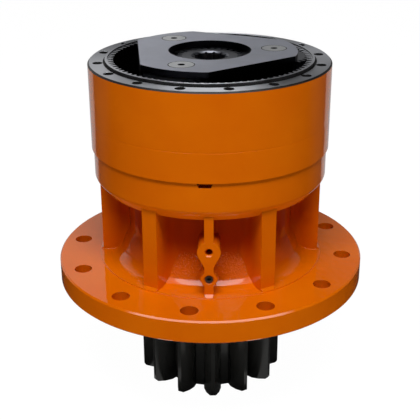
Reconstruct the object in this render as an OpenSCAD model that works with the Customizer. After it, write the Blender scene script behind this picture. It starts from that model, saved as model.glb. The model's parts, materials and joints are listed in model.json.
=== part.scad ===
// Two-stage planetary swing gearbox: a cast housing with a mounting flange, a ring gear shared by
// both stages, and a toothed output pinion on a shaft in two taper roller bearings.
// The shaft axis is Z, and the end face of the pinion lies at Z = 0.

/* [Mounting flange] */
// Radius of the flange
flange_r = 200; // [192:1:215]
// Thickness of the flange
flange_t = 29.5; // [24:0.5:36]
// Distance from the circle of flange bolts to the edge of the flange
flange_bolt_edge = 24.6; // [22:0.1:30]
// Radius of one flange bolt hole
flange_hole_r = 11; // [8:0.5:13]
// Number of flange bolt holes
flange_hole_count = 12; // [6:1:16]
// Radius of the centring step under the flange
pilot_r = 140; // [132:1:148]
// Depth of the centring step under the flange
pilot_depth = 12.5; // [8:0.5:20]

/* [Housing casting] */
// Radius of the raised floor that carries the ribs
base_r = 146.5; // [144.5:0.5:151]
// Height of the raised floor above the flange
base_step = 1.2; // [0.8:0.1:5]
// Outer radius of the waist wall above its leaning foot
wall_r = 107; // [102:1:112]
// Height from the flange to the lower edge of the band
waist_h = 112.5; // [104:0.5:122]
// Outer radius of the band under the ring gear
band_r = 148; // [146.5:0.5:152]
// Height of the band
band_h = 37.7; // [34:0.1:44]
// Distance from the shaft axis to the outer face of a rib
rib_face_r = 142.5; // [137:0.5:143.5]
// Width of a main rib
rib_w = 20; // [12:1:30]
// Number of main ribs
rib_count = 6; // [3:1:8]
// Width of the thin rib that carries the two bosses
thin_rib_w = 11; // [8:0.5:18]
// Radius of the upper boss
port_boss_r = 14; // [10:0.5:18]
// Radius of the grease port in the upper boss
port_r = 4.3; // [3:0.1:6]
// Height of the grease port above the flange
port_height = 59.8; // [52:0.2:66]
// Radius of the lower boss, over the corners of its hexagon
plug_boss_r = 10.8; // [8.4:0.2:12]
// Radius of the drain plug
plug_r = 4.9; // [3:0.1:6]
// Height of the drain plug above the flange
plug_height = 24; // [20:0.5:27]

/* [Ring gear] */
// Wall of the ring gear from the bore at its tooth roots to its outside
ring_wall_t = 24.2; // [22.7:0.1:29.7]
// Height of the ring gear above the housing joint
ring_h = 107; // [105:0.5:112]
// Radius of the raised lip that centres the motor
lip_r = 129.3; // [128.9:0.1:130]
// Height of the raised lip
lip_h = 3.6; // [2.5:0.1:6]
// Radius of the circle of motor bolts
motor_bolt_circle_r = 138.1; // [137.5:0.1:139]
// Radius of one motor bolt hole
motor_hole_r = 6.25; // [5:0.05:6.5]
// Number of motor bolt holes
motor_hole_count = 16; // [8:1:20]

/* [Gear teeth] */
// Module of the planetary stages
gear_module = 2.8; // [2.7:0.01:2.82]
// Teeth in the ring gear
ring_teeth = 87; // [87:3:87]
// Teeth in the first sun gear
sun_1_teeth = 27; // [27:6:27]
// Teeth in the second sun gear
sun_2_teeth = 21; // [21:6:21]
// Gap between two meshing flanks on each side
flank_gap = 0.3; // [0.1:0.05:0.5]
// Module of the output pinion
pinion_module = 12; // [11:0.25:12]
// Teeth in the output pinion
pinion_teeth = 13; // [12:1:14]
// Addendum shift of the output pinion, in modules
pinion_shift = 0.37; // [0:0.01:0.5]
// Angle of the first tooth of the output pinion
pinion_phase = 23.3; // [0:0.1:30]
// Face width of the output pinion
pinion_face_w = 112; // [90:1:130]

/* [Planet stages] */
// Angle of the first planet of the upper stage
stage_1_angle = 6.2; // [0:0.1:30]
// Angle of the first planet of the lower stage
stage_2_angle = 36.2; // [0:0.1:60]
// Face width of the upper planets
planet_1_w = 30; // [24:0.5:34]
// Face width of the lower planets
planet_2_w = 45; // [38:0.5:49]
// Radius of an upper planet pin
pin_1_r = 16; // [12:0.5:17]
// Radius of a lower planet pin
pin_2_r = 19; // [15:0.5:20]
// Outer radius of the upper carrier
carrier_1_r = 108; // [104:0.5:112]
// Distance from the shaft axis to the flats of the upper carrier
carrier_1_flat = 87.2; // [84:0.1:92]
// Radius of the hole in the upper carrier plate
carrier_1_hole_r = 51; // [48:0.5:54]
// Height of the upper carrier above the ring gear face
carrier_1_rise = 11.1; // [10:0.1:14]
// Thickness of the upper carrier plate
carrier_1_plate_t = 7.7; // [6:0.1:9]
// Outer radius of the lower carrier
carrier_2_r = 112; // [108:0.5:116]

/* [Shaft and bearings] */
// Bore radius of the lower bearing
lower_bore_r = 60; // [56:0.5:61]
// Outer radius of the lower bearing
lower_bearing_r = 90; // [88:0.5:92]
// Width of the lower bearing
lower_bearing_w = 38; // [34:0.5:40]
// Bore radius of the upper bearing
upper_bore_r = 47.5; // [46.5:0.5:49]
// Outer radius of the upper bearing
upper_bearing_r = 72.5; // [71:0.5:74]
// Width of the upper bearing
upper_bearing_w = 32; // [28:0.5:33]
// Distance between the two bearing shoulders
bearing_spread = 72; // [70:0.5:74]
// Rollers in each bearing
roller_count = 20; // [14:1:22]

/* [Hidden] */
$fn = 96;
hexagon = 6;

// Colours of the real finishes
paint_color = "darkorange";
bare_color = "slategray";
oxide_color = "dimgray";
bright_color = "silver";
rubber_color = "black";
bronze_color = "peru";

// One overrun for all cuts, and the clearances of the fits
over = 1;
fit_gap = 0.05;
rest_gap = 0.3;
thread_gap = 0.15;

// Edges
edge = 2;
small_edge = 1;

// Housing details
neck_setback = 5;
neck_r = rib_face_r - neck_setback;
neck_h = 12.5;
floor_fillet = 20;
wall_lean = 18;
wall_lean_h = 41;
ceiling_fillet = 10;
rib_fillet = 21;
thin_rib_fillet = 10;
foot_rise = 3;
foot_tip_share = 0.75;
wall_sink = 12;
band_edge = 2.5;
boss_neck_w_share = 0.9;
boss_neck_h_share = 1.55;
boss_neck_top_share = 0.42;
pry_slot_w = 20.4;
pry_slot_h = 6.5;
pry_slot_depth = 7;
pry_slot_angle = -91.7;
port_chamfer = 1.5;
plug_recess_w = 1.4;
plug_recess_depth = 1.5;
thin_rib_angle = -90;
flange_bolt_circle_r = flange_r - flange_bolt_edge;
flange_hole_phase = 22.5;
motor_hole_phase = 9.4;
motor_thread_r = 5.1;
motor_thread_depth = 28;
waist_wall_t = 16;
cavity_r = wall_r - waist_wall_t;
shoulder_h = 4;
cavity_slope_h = 5;
lower_shoulder_r = 76;
upper_shoulder_r = 66;
sump_r = 126;
sump_floor_r = 82;
sump_slope_h = 26;

// Joint between the ring gear and the housing
spigot_wall = 4.7;
spigot_h = 6.5;
joint_ring_r = 1.2;
joint_groove_w = 3.6;
dowel_r = 4;
dowel_l = 22;
dowel_angle = 20.65;
dowel_count = 2;
lip_groove_w = 2.2;
lip_groove_depth = 1.6;
witness_w = 1.2;
witness_depth = 0.1;
witness_height = 36;
tooth_top_drop = 1.6;
relief_h = 5;

// Retainer, seal and sleeve at the pinion end
pinion_to_case = 10;
collar_h = 8;
collar_r = 72;
retainer_r = 112;
retainer_t = 12;
retainer_spigot_h = 6;
retainer_bolt_circle_r = 101;
retainer_bolt_count = 8;
cap_head_r = 8;
cap_head_h = 8;
cap_shank_r = 5;
cap_shank_l = 24;
cap_socket_share = 0.55;
seal_r = 80;
seal_h = 12.5;
seal_shelf_r = 77;
cup_end_r = 86.5;
seal_case_t = 2;
seal_case_rim = 7;
seal_step = 3.5;
spring_r = 1.2;
sleeve_t = 7.5;

// Output shaft
middle_r = 52;
thread_r = 45;
spline_teeth = 24;
spline_tip_r = 43.5;
spline_depth = 3.5;
nut_r = 62;
nut_h = 11;
nut_slot_w = 10;
nut_slot_depth = 6;
nut_slots = 4;
lock_washer_t = 1.5;
lock_tab_w = 8;
lock_tabs = 9;
end_plate_r = 54;
end_plate_t = 6.5;
end_bolt_r = 5;
end_bolt_l = 30;
end_bolt_circle_r = 28;
end_bolt_count = 3;
centre_drill_r = 6;
centre_drill_depth = 8;
pinion_chamfer = 2.5;
pinion_top_chamfer = 3;

// Stage details
planet_count = 3;
washer_t = 1;
washer_rim = 9;
carrier_1_floor_t = 12.8;
carrier_2_floor_t = 20.3;
carrier_2_plate_t = 8.6;
carrier_2_hub_r = 60;
carrier_2_hub_h = 14;
carrier_2_hole_r = 38;
stage_gap = 2.7;
pocket_gap = 3.2;
lock_pin_r = 3;
pin_bore_r = 4.3;
pin_chamfer = 1;
planet_roller_1_r = 2.7;
planet_roller_2_r = 3;
planet_roller_count = 14;
roller_inset = 2;
sun_1_rise = 4.2;
sun_spline_teeth = 14;
sun_spline_tip_r = 19.5;
sun_spline_depth = 3;
sun_spline_chamfer = 2;
sun_2_bore_r = 12;
snap_ring_t = 2;
snap_ring_rim = 6;
snap_ring_gap_w = 10;
button_t = 1.8;
button_stem_l = 10;
button_r = 26;

// Taper bearings
taper_angle = 11;
roller_taper = 1.5;
roller_r_share = 0.21;
roller_l_share = 0.66;
roller_shift_share = 0.04;
cup_w_share = 0.9;
cone_rib_share = 0.12;
cone_big_rib_share = 0.8;
cone_small_rib_share = 0.3;
cage_t = 2;
cage_gap = 0.25;

// Shares of a gear module for tooth height, and of the tooth height for the flank points
addendum_share = 1;
dedendum_share = 1.25;
pressure_angle = 20;
flank_shares = [0, 0.28, 0.62, 1];
spline_taper_share = 0.55;

// Heights, from the pinion face upwards
z_collar = pinion_face_w;
z_sleeve = z_collar + collar_h;
z_retainer = pinion_face_w + pinion_to_case;
z_pilot = z_retainer + retainer_t;
z_flange = z_pilot + pilot_depth;
z_flange_top = z_flange + flange_t;
z_floor = z_flange_top + base_step;
z_band = z_flange_top + waist_h;
z_ceiling = z_band - neck_h;
z_joint = z_band + band_h;
z_ring_top = z_joint + ring_h;
z_lip = z_ring_top + lip_h;
z_tooth_top = z_lip - tooth_top_drop;
z_lower_cup = z_pilot + retainer_spigot_h;
z_lower_shoulder = z_lower_cup + lower_bearing_w;
z_upper_shoulder = z_lower_shoulder + bearing_spread;
z_upper_top = z_upper_shoulder + upper_bearing_w;
z_lock_washer = z_upper_top + rest_gap;
z_nut = z_lock_washer + lock_washer_t;
z_nut_top = z_nut + nut_h;
z_port = z_flange_top + port_height;
z_plug = z_flange_top + plug_height;

// Heights of the two stages, from the upper carrier downwards
z_carrier_1_top = z_ring_top + carrier_1_rise;
z_carrier_1_plate = z_carrier_1_top - carrier_1_plate_t;
z_planet_1_top = z_carrier_1_plate - washer_t - rest_gap;
z_planet_1 = z_planet_1_top - planet_1_w;
z_carrier_1_floor = z_planet_1 - rest_gap - washer_t;
z_carrier_1 = z_carrier_1_floor - carrier_1_floor_t;
z_carrier_2_top = z_carrier_1 - stage_gap;
z_carrier_2_plate = z_carrier_2_top - carrier_2_plate_t;
z_planet_2_top = z_carrier_2_plate - washer_t - rest_gap;
z_planet_2 = z_planet_2_top - planet_2_w;
z_carrier_2_floor = z_planet_2 - rest_gap - washer_t;
z_carrier_2 = z_carrier_2_floor - carrier_2_floor_t;
z_hub = z_carrier_2 - carrier_2_hub_h;
z_end_plate = z_carrier_2_floor - end_plate_t;
z_sun_2 = z_planet_2 + small_edge;
z_sun_2_top = z_carrier_1_floor - fit_gap;
z_sun_1_top = z_ring_top + sun_1_rise;
z_sun_1 = z_sun_2_top + button_t + rest_gap;

// Pitch radii and centre distances
planet_1_teeth = (ring_teeth - sun_1_teeth) / 2;
planet_2_teeth = (ring_teeth - sun_2_teeth) / 2;
stage_1_r = gear_module * (sun_1_teeth + planet_1_teeth) / 2;
stage_2_r = gear_module * (sun_2_teeth + planet_2_teeth) / 2;
planet_1_tip_r = gear_module * (planet_1_teeth / 2 + addendum_share);
planet_2_tip_r = gear_module * (planet_2_teeth / 2 + addendum_share);
sun_1_tip_r = gear_module * (sun_1_teeth / 2 + addendum_share);
sun_2_tip_r = gear_module * (sun_2_teeth / 2 + addendum_share);
sun_2_root_r = gear_module * (sun_2_teeth / 2 - dedendum_share);
ring_root_r = gear_module * (ring_teeth / 2 + dedendum_share);
ring_tip_r = gear_module * (ring_teeth / 2 - addendum_share);
ring_bore_r = ring_root_r + small_edge;
spigot_r = ring_bore_r + spigot_wall;
ring_r = ring_bore_r + ring_wall_t;
planet_1_bore_r = pin_1_r + 2 * planet_roller_1_r + 2 * rest_gap;
planet_2_bore_r = pin_2_r + 2 * planet_roller_2_r + 2 * rest_gap;
pinion_pitch_r = pinion_module * pinion_teeth / 2;
pinion_tip_r = pinion_pitch_r + pinion_module * (1 + pinion_shift);
pinion_root_r = pinion_pitch_r - pinion_module * (dedendum_share - pinion_shift);

// Angles at which the gears mesh at rest, with a ring gear space at angle zero
function planet_phase(angle, teeth) = angle - angle * ring_teeth / teeth;
function sun_phase(angle, sun, teeth) = angle + (180 * (teeth - 1) + angle * ring_teeth) / sun;
sun_1_phase = sun_phase(stage_1_angle, sun_1_teeth, planet_1_teeth);
sun_2_phase = sun_phase(stage_2_angle, sun_2_teeth, planet_2_teeth);

// Involute of an angle, in degrees
function involute(a) = tan(a) * 180 / PI - a;

// Half angle of a tooth at radius r, from its half angle at the pitch circle
function half_angle(r, pitch_r, pitch_half) =
    pitch_half + involute(pressure_angle)
    - involute(acos(min(1, pitch_r * cos(pressure_angle) / r)));

// Radii at which a flank has its points
function flank_radii(low_r, high_r) = [for (s = flank_shares) low_r + s * (high_r - low_r)];

// Closed outline of a toothed wheel, with the half angle of its teeth at the pitch circle
function toothed(teeth, pitch_r, low_r, high_r, pitch_half) =
    let (radii = flank_radii(low_r, high_r), last = len(radii) - 1)
    [for (i = [0 : teeth - 1], side = [-1, 1], k = [0 : last])
        let (r = radii[side < 0 ? k : last - k], a = i * 360 / teeth
            + side * half_angle(r, pitch_r, pitch_half))
        [r * cos(a), r * sin(a)]];

// Half angle at the pitch circle, thinner or wider than half a pitch by half a flank gap
function gear_half(teeth, pitch_r, gap) = 90 / teeth + gap / 2 / pitch_r * 180 / PI;

// Closed outline of a spline with straight flanks
function splined(teeth, low_r, high_r, gap) =
    let (low_half = 90 / teeth + gap / low_r * 180 / PI,
        high_half = 90 / teeth * spline_taper_share + gap / high_r * 180 / PI)
    [for (i = [0 : teeth - 1], c = [[low_r, -low_half], [high_r, -high_half],
            [high_r, high_half], [low_r, low_half]])
        let (a = i * 360 / teeth + c[1])
        [c[0] * cos(a), c[0] * sin(a)]];

// Points of an arc about a centre
function arc(x, y, r, from, to, steps) =
    [for (i = [0 : steps]) let (a = from + (to - from) * i / steps) [x + r * cos(a), y + r * sin(a)]];
arc_steps = 6;
wide_arc_steps = 12;

// Copies of a shape round the shaft axis
module round_copies(count, r, phase) {
    for (i = [0 : count - 1]) {
        rotate(phase + i * 360 / count)
            translate([r, 0, 0])
                children();
    }
}

// A tube standing between two heights
module tube(outer_r, inner_r, low, high) {
    difference() {
        translate([0, 0, low])
            cylinder(r = outer_r, h = high - low);
        translate([0, 0, low - over])
            cylinder(r = inner_r, h = high - low + 2 * over);
    }
}

// A gear blank with involute teeth
module gear_prism(teeth, m, low, high, phase) {
    pitch_r = m * teeth / 2;
    translate([0, 0, low])
        rotate(phase)
            linear_extrude(high - low)
                polygon(toothed(teeth, pitch_r, pitch_r - m * dedendum_share,
                    pitch_r + m * addendum_share, gear_half(teeth, pitch_r, -flank_gap)));
}

// A screw with a socket head, its shank pointing up from the origin
module cap_screw(head_r, head_h, shank_r, shank_l) {
    difference() {
        union() {
            cylinder(r = head_r, h = head_h);
            translate([0, 0, head_h - small_edge])
                cylinder(r = shank_r, h = shank_l + small_edge);
        }
        translate([0, 0, -over])
            cylinder(r = head_r * cap_socket_share, h = head_h * cap_socket_share + over, $fn = hexagon);
    }
}

// Plan of a rib with concave fillets against the round waist wall
module rib_plan(half_w, fillet) {
    centre_y = half_w + fillet;
    centre_x = sqrt(pow(wall_r + fillet - rest_gap, 2) - pow(centre_y, 2));
    start = 180 + atan2(centre_y, centre_x);
    side = arc(centre_x, centre_y, fillet, start, 270, 2 * arc_steps);
    mirrored = [for (i = [len(side) - 1 : -1 : 0]) [side[i][0], -side[i][1]]];
    polygon(concat([[wall_r - wall_sink, centre_y]], side, [[rib_face_r, half_w]],
        [[rib_face_r, -half_w]], mirrored, [[wall_r - wall_sink, -centre_y]]));
}

// The sloping foot in front of a rib, which narrows towards the edge of the raised floor
module rib_foot(half_w) {
    foot_r = base_r - small_edge / 2;
    tip_half_w = half_w * foot_tip_share;
    slope = [[rib_face_r - edge, z_floor - small_edge], [foot_r, z_floor - small_edge],
        [foot_r, z_floor], [rib_face_r, z_floor + foot_rise],
        [rib_face_r - edge, z_floor + foot_rise]];
    intersection() {
        translate([0, half_w, 0])
            rotate([90, 0, 0])
                linear_extrude(2 * half_w)
                    polygon(slope);
        translate([0, 0, z_floor - 2 * small_edge])
            linear_extrude(foot_rise + edge + 2 * small_edge)
                polygon([[rib_face_r - edge - over, half_w], [rib_face_r, half_w],
                    [foot_r, tip_half_w], [foot_r, -tip_half_w], [rib_face_r, -half_w],
                    [rib_face_r - edge - over, -half_w]]);
    }
}

// A rib from the raised floor to the underside of the band
module rib(half_w, fillet) {
    translate([0, 0, z_floor - small_edge])
        linear_extrude(z_band - band_edge - z_floor + small_edge)
            rib_plan(half_w, fillet);
    rib_foot(half_w);
}

// A boss on the front wall with its face level with the ribs
module front_boss(r, height, sides) {
    translate([0, -(wall_r - wall_sink), height])
        rotate([90, 0, 0])
            cylinder(r = r, h = rib_face_r - wall_r + wall_sink, $fn = sides);
}

// The narrowing neck under the upper boss
module boss_neck() {
    wide = port_boss_r * boss_neck_w_share;
    low = port_boss_r * boss_neck_h_share;
    half = thin_rib_w / 2 - small_edge;
    translate([0, -(wall_r - wall_sink), z_port])
        rotate([90, 0, 0])
            linear_extrude(rib_face_r - wall_r + wall_sink)
                polygon([[-wide, -port_boss_r * boss_neck_top_share],
                    [wide, -port_boss_r * boss_neck_top_share], [half, -low], [-half, -low]]);
}

// Radius of the centre of the sweep from the leaning foot of the wall to the raised floor
function sweep_r() =
    wall_r + floor_fillet * cos(wall_lean)
    + (wall_lean_h - floor_fillet * (1 - sin(wall_lean))) * tan(wall_lean);

// Outline of the casting turned about the shaft axis
function housing_outline() = concat(
    [[0, z_pilot], [pilot_r - edge, z_pilot], [pilot_r, z_pilot + edge], [pilot_r, z_flange],
        [flange_r - edge, z_flange], [flange_r, z_flange + edge],
        [flange_r, z_flange_top - edge], [flange_r - edge, z_flange_top],
        [base_r, z_flange_top], [base_r, z_floor]],
    arc(sweep_r(), z_floor + floor_fillet, floor_fillet, 270, 180 + wall_lean, wide_arc_steps),
    [[wall_r, z_floor + wall_lean_h]],
    arc(wall_r + ceiling_fillet, z_ceiling - ceiling_fillet, ceiling_fillet, 180, 90, arc_steps),
    [[neck_r, z_ceiling], [band_r - band_edge, z_band - band_edge]],
    [[band_r - band_edge / 3, z_band], [band_r, z_band + band_edge],
        [band_r, z_joint], [0, z_joint]]);

// Outline of the space inside the casting
function housing_bore() = [
    [0, z_pilot - over], [lower_bearing_r + fit_gap, z_pilot - over],
    [lower_bearing_r + fit_gap, z_lower_shoulder], [lower_shoulder_r, z_lower_shoulder],
    [lower_shoulder_r, z_lower_shoulder + shoulder_h],
    [cavity_r, z_lower_shoulder + shoulder_h + cavity_slope_h],
    [cavity_r, z_upper_shoulder - shoulder_h - cavity_slope_h],
    [upper_shoulder_r, z_upper_shoulder - shoulder_h], [upper_shoulder_r, z_upper_shoulder],
    [upper_bearing_r + fit_gap, z_upper_shoulder], [upper_bearing_r + fit_gap, z_upper_top],
    [sump_floor_r, z_upper_top], [sump_r, z_upper_top + sump_slope_h],
    [sump_r, z_joint - spigot_h - small_edge], [spigot_r + fit_gap, z_joint - spigot_h - small_edge],
    [spigot_r + fit_gap, z_joint + over], [0, z_joint + over]];

// Slot that lets a bar prise the ring gear off the housing
module pry_slot() {
    rotate(pry_slot_angle)
        translate([band_r - pry_slot_depth, 0, z_joint - pry_slot_h])
            rotate([90, 0, 90])
                linear_extrude(pry_slot_depth + over)
                    polygon([[-pry_slot_w / 3, 0], [pry_slot_w / 3, 0],
                        [pry_slot_w / 2, pry_slot_h + over], [-pry_slot_w / 2, pry_slot_h + over]]);
}

// Grease port and drain hole through the front wall
module front_ports() {
    translate([0, -cavity_r + cavity_slope_h, z_port])
        rotate([90, 0, 0])
            cylinder(r = port_r, h = rib_face_r);
    translate([0, -rib_face_r + port_chamfer, z_port])
        rotate([90, 0, 0])
            cylinder(r1 = port_r, r2 = port_r + port_chamfer + small_edge,
                h = port_chamfer + small_edge);
    translate([0, -cavity_r + cavity_slope_h, z_plug])
        rotate([90, 0, 0])
            cylinder(r = plug_r, h = rib_face_r);
    translate([0, -rib_face_r + plug_recess_depth, z_plug])
        rotate([90, 0, 0])
            cylinder(r = plug_r + plug_recess_w, h = plug_recess_depth + over);
}

// Cast housing with the mounting flange
module housing() {
    color(paint_color)
        difference() {
            union() {
                rotate_extrude()
                    polygon(housing_outline());
                round_copies(rib_count, 0, 0)
                    rib(rib_w / 2, rib_fillet);
                rotate(thin_rib_angle)
                    rib(thin_rib_w / 2, thin_rib_fillet);
                front_boss(port_boss_r, z_port, $fn);
                boss_neck();
                front_boss(plug_boss_r, z_plug, hexagon);
            }
            rotate_extrude()
                polygon(housing_bore());
            front_ports();
            pry_slot();
            round_copies(flange_hole_count, flange_bolt_circle_r, flange_hole_phase)
                translate([0, 0, z_flange - over])
                    cylinder(r = flange_hole_r, h = z_floor - z_flange + 2 * over);
            round_copies(motor_hole_count, motor_bolt_circle_r, motor_hole_phase)
                translate([0, 0, z_joint - motor_thread_depth])
                    cylinder(r = motor_thread_r, h = motor_thread_depth + over);
            round_copies(dowel_count, motor_bolt_circle_r, dowel_angle)
                translate([0, 0, z_joint - dowel_l / 2])
                    cylinder(r = dowel_r, h = dowel_l);
            round_copies(retainer_bolt_count, retainer_bolt_circle_r, 0)
                translate([0, 0, z_pilot - over])
                    cylinder(r = cap_shank_r + thread_gap, h = cap_shank_l);
        }
}

// Ring gear that closes the housing and carries the motor
module ring_gear() {
    z_spigot = z_joint - spigot_h;
    z_groove = z_spigot + spigot_h / 2 - joint_groove_w / 2;
    z_witness = z_joint + witness_height;
    pitch_r = gear_module * ring_teeth / 2;
    color(paint_color)
        difference() {
            rotate_extrude()
                polygon([[0, z_spigot], [spigot_r, z_spigot], [spigot_r, z_groove],
                    [spigot_r - 2 * joint_ring_r, z_groove],
                    [spigot_r - 2 * joint_ring_r, z_groove + joint_groove_w],
                    [spigot_r, z_groove + joint_groove_w], [spigot_r, z_joint], [ring_r, z_joint],
                    [ring_r, z_witness], [ring_r - witness_depth, z_witness],
                    [ring_r - witness_depth, z_witness + witness_w], [ring_r, z_witness + witness_w],
                    [ring_r, z_ring_top - edge], [ring_r - edge, z_ring_top],
                    [lip_r + lip_groove_w, z_ring_top],
                    [lip_r + lip_groove_w, z_ring_top - lip_groove_depth],
                    [lip_r, z_ring_top - lip_groove_depth], [lip_r, z_lip], [0, z_lip]]);
            translate([0, 0, z_spigot - over])
                linear_extrude(z_lip - z_spigot + 2 * over)
                    polygon(toothed(ring_teeth, pitch_r, ring_tip_r, ring_root_r,
                        gear_half(ring_teeth, pitch_r, flank_gap)));
            translate([0, 0, z_spigot - over])
                cylinder(r = ring_bore_r, h = spigot_h + relief_h + over);
            translate([0, 0, z_tooth_top])
                cylinder(r = ring_bore_r, h = tooth_top_drop + over);
            round_copies(motor_hole_count, motor_bolt_circle_r, motor_hole_phase)
                translate([0, 0, z_joint - over])
                    cylinder(r = motor_hole_r, h = ring_h + 2 * over);
            round_copies(dowel_count, motor_bolt_circle_r, dowel_angle)
                translate([0, 0, z_joint - over])
                    cylinder(r = dowel_r, h = dowel_l / 2 + over);
        }
}

// Two pins that line up the ring gear with the housing
module dowel_pins() {
    color(bright_color)
        round_copies(dowel_count, motor_bolt_circle_r, dowel_angle)
            translate([0, 0, z_joint - dowel_l / 2 + small_edge])
                cylinder(r = dowel_r - fit_gap, h = dowel_l - 2 * small_edge);
}

// Rubber ring in the groove of the ring gear spigot
module joint_o_ring() {
    color(rubber_color)
        translate([0, 0, z_joint - spigot_h / 2])
            rotate_extrude()
                translate([spigot_r - joint_ring_r + fit_gap / 2, 0])
                    circle(r = joint_ring_r, $fn = 24);
}

// Radius of the roller circle of a bearing, and of its rollers
function roller_r(bore_r, outer_r) = (outer_r - bore_r) * roller_r_share;
function roller_circle(bore_r, outer_r) =
    (outer_r + bore_r) / 2 + (outer_r - bore_r) * roller_shift_share;

// Radius of a raceway at a height above the middle of the rollers, side 1 outside and -1 inside
function raceway(bore_r, outer_r, side, height) =
    let (slope = taper_angle + side * roller_taper)
    roller_circle(bore_r, outer_r)
    + side * (roller_r(bore_r, outer_r) + rest_gap) / cos(slope) - height * tan(slope);

// Outer ring of a taper bearing, its thick end at the top
module bearing_cup(bore_r, outer_r, w) {
    low = w * (1 - cup_w_share);
    rotate_extrude()
        polygon([[raceway(bore_r, outer_r, 1, low - w / 2), low], [outer_r, low], [outer_r, w],
            [raceway(bore_r, outer_r, 1, w / 2), w]]);
}

// Inner ring of a taper bearing, with a rib at each end of the roller track
module bearing_cone(bore_r, outer_r, w) {
    reach = w * roller_l_share / 2 + roller_r(bore_r, outer_r) * sin(taper_angle) + rest_gap;
    low = w / 2 - reach;
    high = w / 2 + reach;
    rib_h = w * cone_rib_share;
    low_r = raceway(bore_r, outer_r, -1, -reach);
    high_r = raceway(bore_r, outer_r, -1, reach);
    big_rib_r = low_r + rib_h * cone_big_rib_share;
    small_rib_r = high_r + rib_h * cone_small_rib_share;
    rotate_extrude()
        polygon([[bore_r + fit_gap, 0], [big_rib_r, 0], [big_rib_r, low], [low_r, low],
            [high_r, high], [small_rib_r, high], [small_rib_r, high + rib_h],
            [bore_r + fit_gap, high + rib_h]]);
}

// One tapered roller, in place at angle zero
module taper_roller(bore_r, outer_r, w, extra) {
    l = w * roller_l_share + 2 * extra;
    mean_r = roller_r(bore_r, outer_r) + extra;
    spread = l / 2 * tan(roller_taper);
    translate([roller_circle(bore_r, outer_r), 0, w / 2])
        rotate([0, -taper_angle, 0])
            translate([0, 0, -l / 2])
                cylinder(r1 = mean_r + spread, r2 = mean_r - spread, h = l);
}

// The set of rollers of a taper bearing
module bearing_rollers(bore_r, outer_r, w) {
    round_copies(roller_count, 0, 0)
        taper_roller(bore_r, outer_r, w, 0);
}

// Pressed cage that spaces the rollers
module bearing_cage(bore_r, outer_r, w) {
    reach = w * roller_l_share / 2 + cage_t;
    mid_r = roller_circle(bore_r, outer_r);
    slope = reach * tan(taper_angle);
    difference() {
        rotate_extrude()
            polygon([[mid_r + slope, w / 2 - reach], [mid_r + slope + cage_t, w / 2 - reach],
                [mid_r - slope + cage_t, w / 2 + reach], [mid_r - slope, w / 2 + reach]]);
        round_copies(roller_count, 0, 0)
            taper_roller(bore_r, outer_r, w, cage_gap);
    }
}

// The upper bearing is the same way up as the lower one and then turned over
module upper_place() {
    translate([0, 0, z_upper_top])
        mirror([0, 0, 1])
            children();
}

module lower_bearing_cup() {
    color(bright_color)
        translate([0, 0, z_lower_cup])
            bearing_cup(lower_bore_r, lower_bearing_r, lower_bearing_w);
}

module upper_bearing_cup() {
    color(bright_color)
        upper_place()
            bearing_cup(upper_bore_r, upper_bearing_r, upper_bearing_w);
}

module lower_bearing_cone() {
    color(bright_color)
        translate([0, 0, z_lower_cup])
            bearing_cone(lower_bore_r, lower_bearing_r, lower_bearing_w);
}

module upper_bearing_cone() {
    color(bright_color)
        upper_place()
            bearing_cone(upper_bore_r, upper_bearing_r, upper_bearing_w);
}

module lower_bearing_rollers() {
    color(bright_color)
        translate([0, 0, z_lower_cup])
            bearing_rollers(lower_bore_r, lower_bearing_r, lower_bearing_w);
}

module upper_bearing_rollers() {
    color(bright_color)
        upper_place()
            bearing_rollers(upper_bore_r, upper_bearing_r, upper_bearing_w);
}

module lower_bearing_cage() {
    color(bare_color)
        translate([0, 0, z_lower_cup])
            bearing_cage(lower_bore_r, lower_bearing_r, lower_bearing_w);
}

module upper_bearing_cage() {
    color(bare_color)
        upper_place()
            bearing_cage(upper_bore_r, upper_bearing_r, upper_bearing_w);
}

// Ring that holds the lower bearing and the oil seal
module bearing_retainer() {
    z_shelf = z_retainer + seal_h + small_edge;
    z_cup_end = z_lower_cup + lower_bearing_w * (1 - cup_w_share);
    color(bare_color)
        difference() {
            rotate_extrude()
                polygon([[seal_r, z_retainer], [retainer_r - small_edge, z_retainer],
                    [retainer_r, z_retainer + small_edge], [retainer_r, z_pilot],
                    [lower_bearing_r, z_pilot], [lower_bearing_r, z_cup_end],
                    [cup_end_r, z_cup_end], [cup_end_r, z_shelf + 2 * edge],
                    [seal_shelf_r, z_shelf + edge], [seal_shelf_r, z_shelf], [seal_r, z_shelf]]);
            round_copies(retainer_bolt_count, retainer_bolt_circle_r, 0) {
                translate([0, 0, z_retainer - over])
                    cylinder(r = cap_head_r + small_edge, h = cap_head_h + over);
                translate([0, 0, z_retainer])
                    cylinder(r = cap_shank_r + thread_gap, h = retainer_t + over);
            }
        }
}

// Screws that hold the retainer to the housing
module retainer_bolts() {
    color(oxide_color)
        round_copies(retainer_bolt_count, retainer_bolt_circle_r, 0)
            translate([0, 0, z_retainer])
                cap_screw(cap_head_r, cap_head_h, cap_shank_r, cap_shank_l);
}

// Steel shell of the oil seal
module seal_case() {
    low = z_retainer + small_edge;
    high = low + seal_h - small_edge;
    color(bare_color)
        rotate_extrude()
            polygon([[seal_r - seal_case_t, low], [seal_r - fit_gap, low], [seal_r - fit_gap, high],
                [seal_r - seal_case_rim, high], [seal_r - seal_case_rim, high - seal_case_t],
                [seal_r - seal_case_t, high - seal_case_t]]);
}

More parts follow.
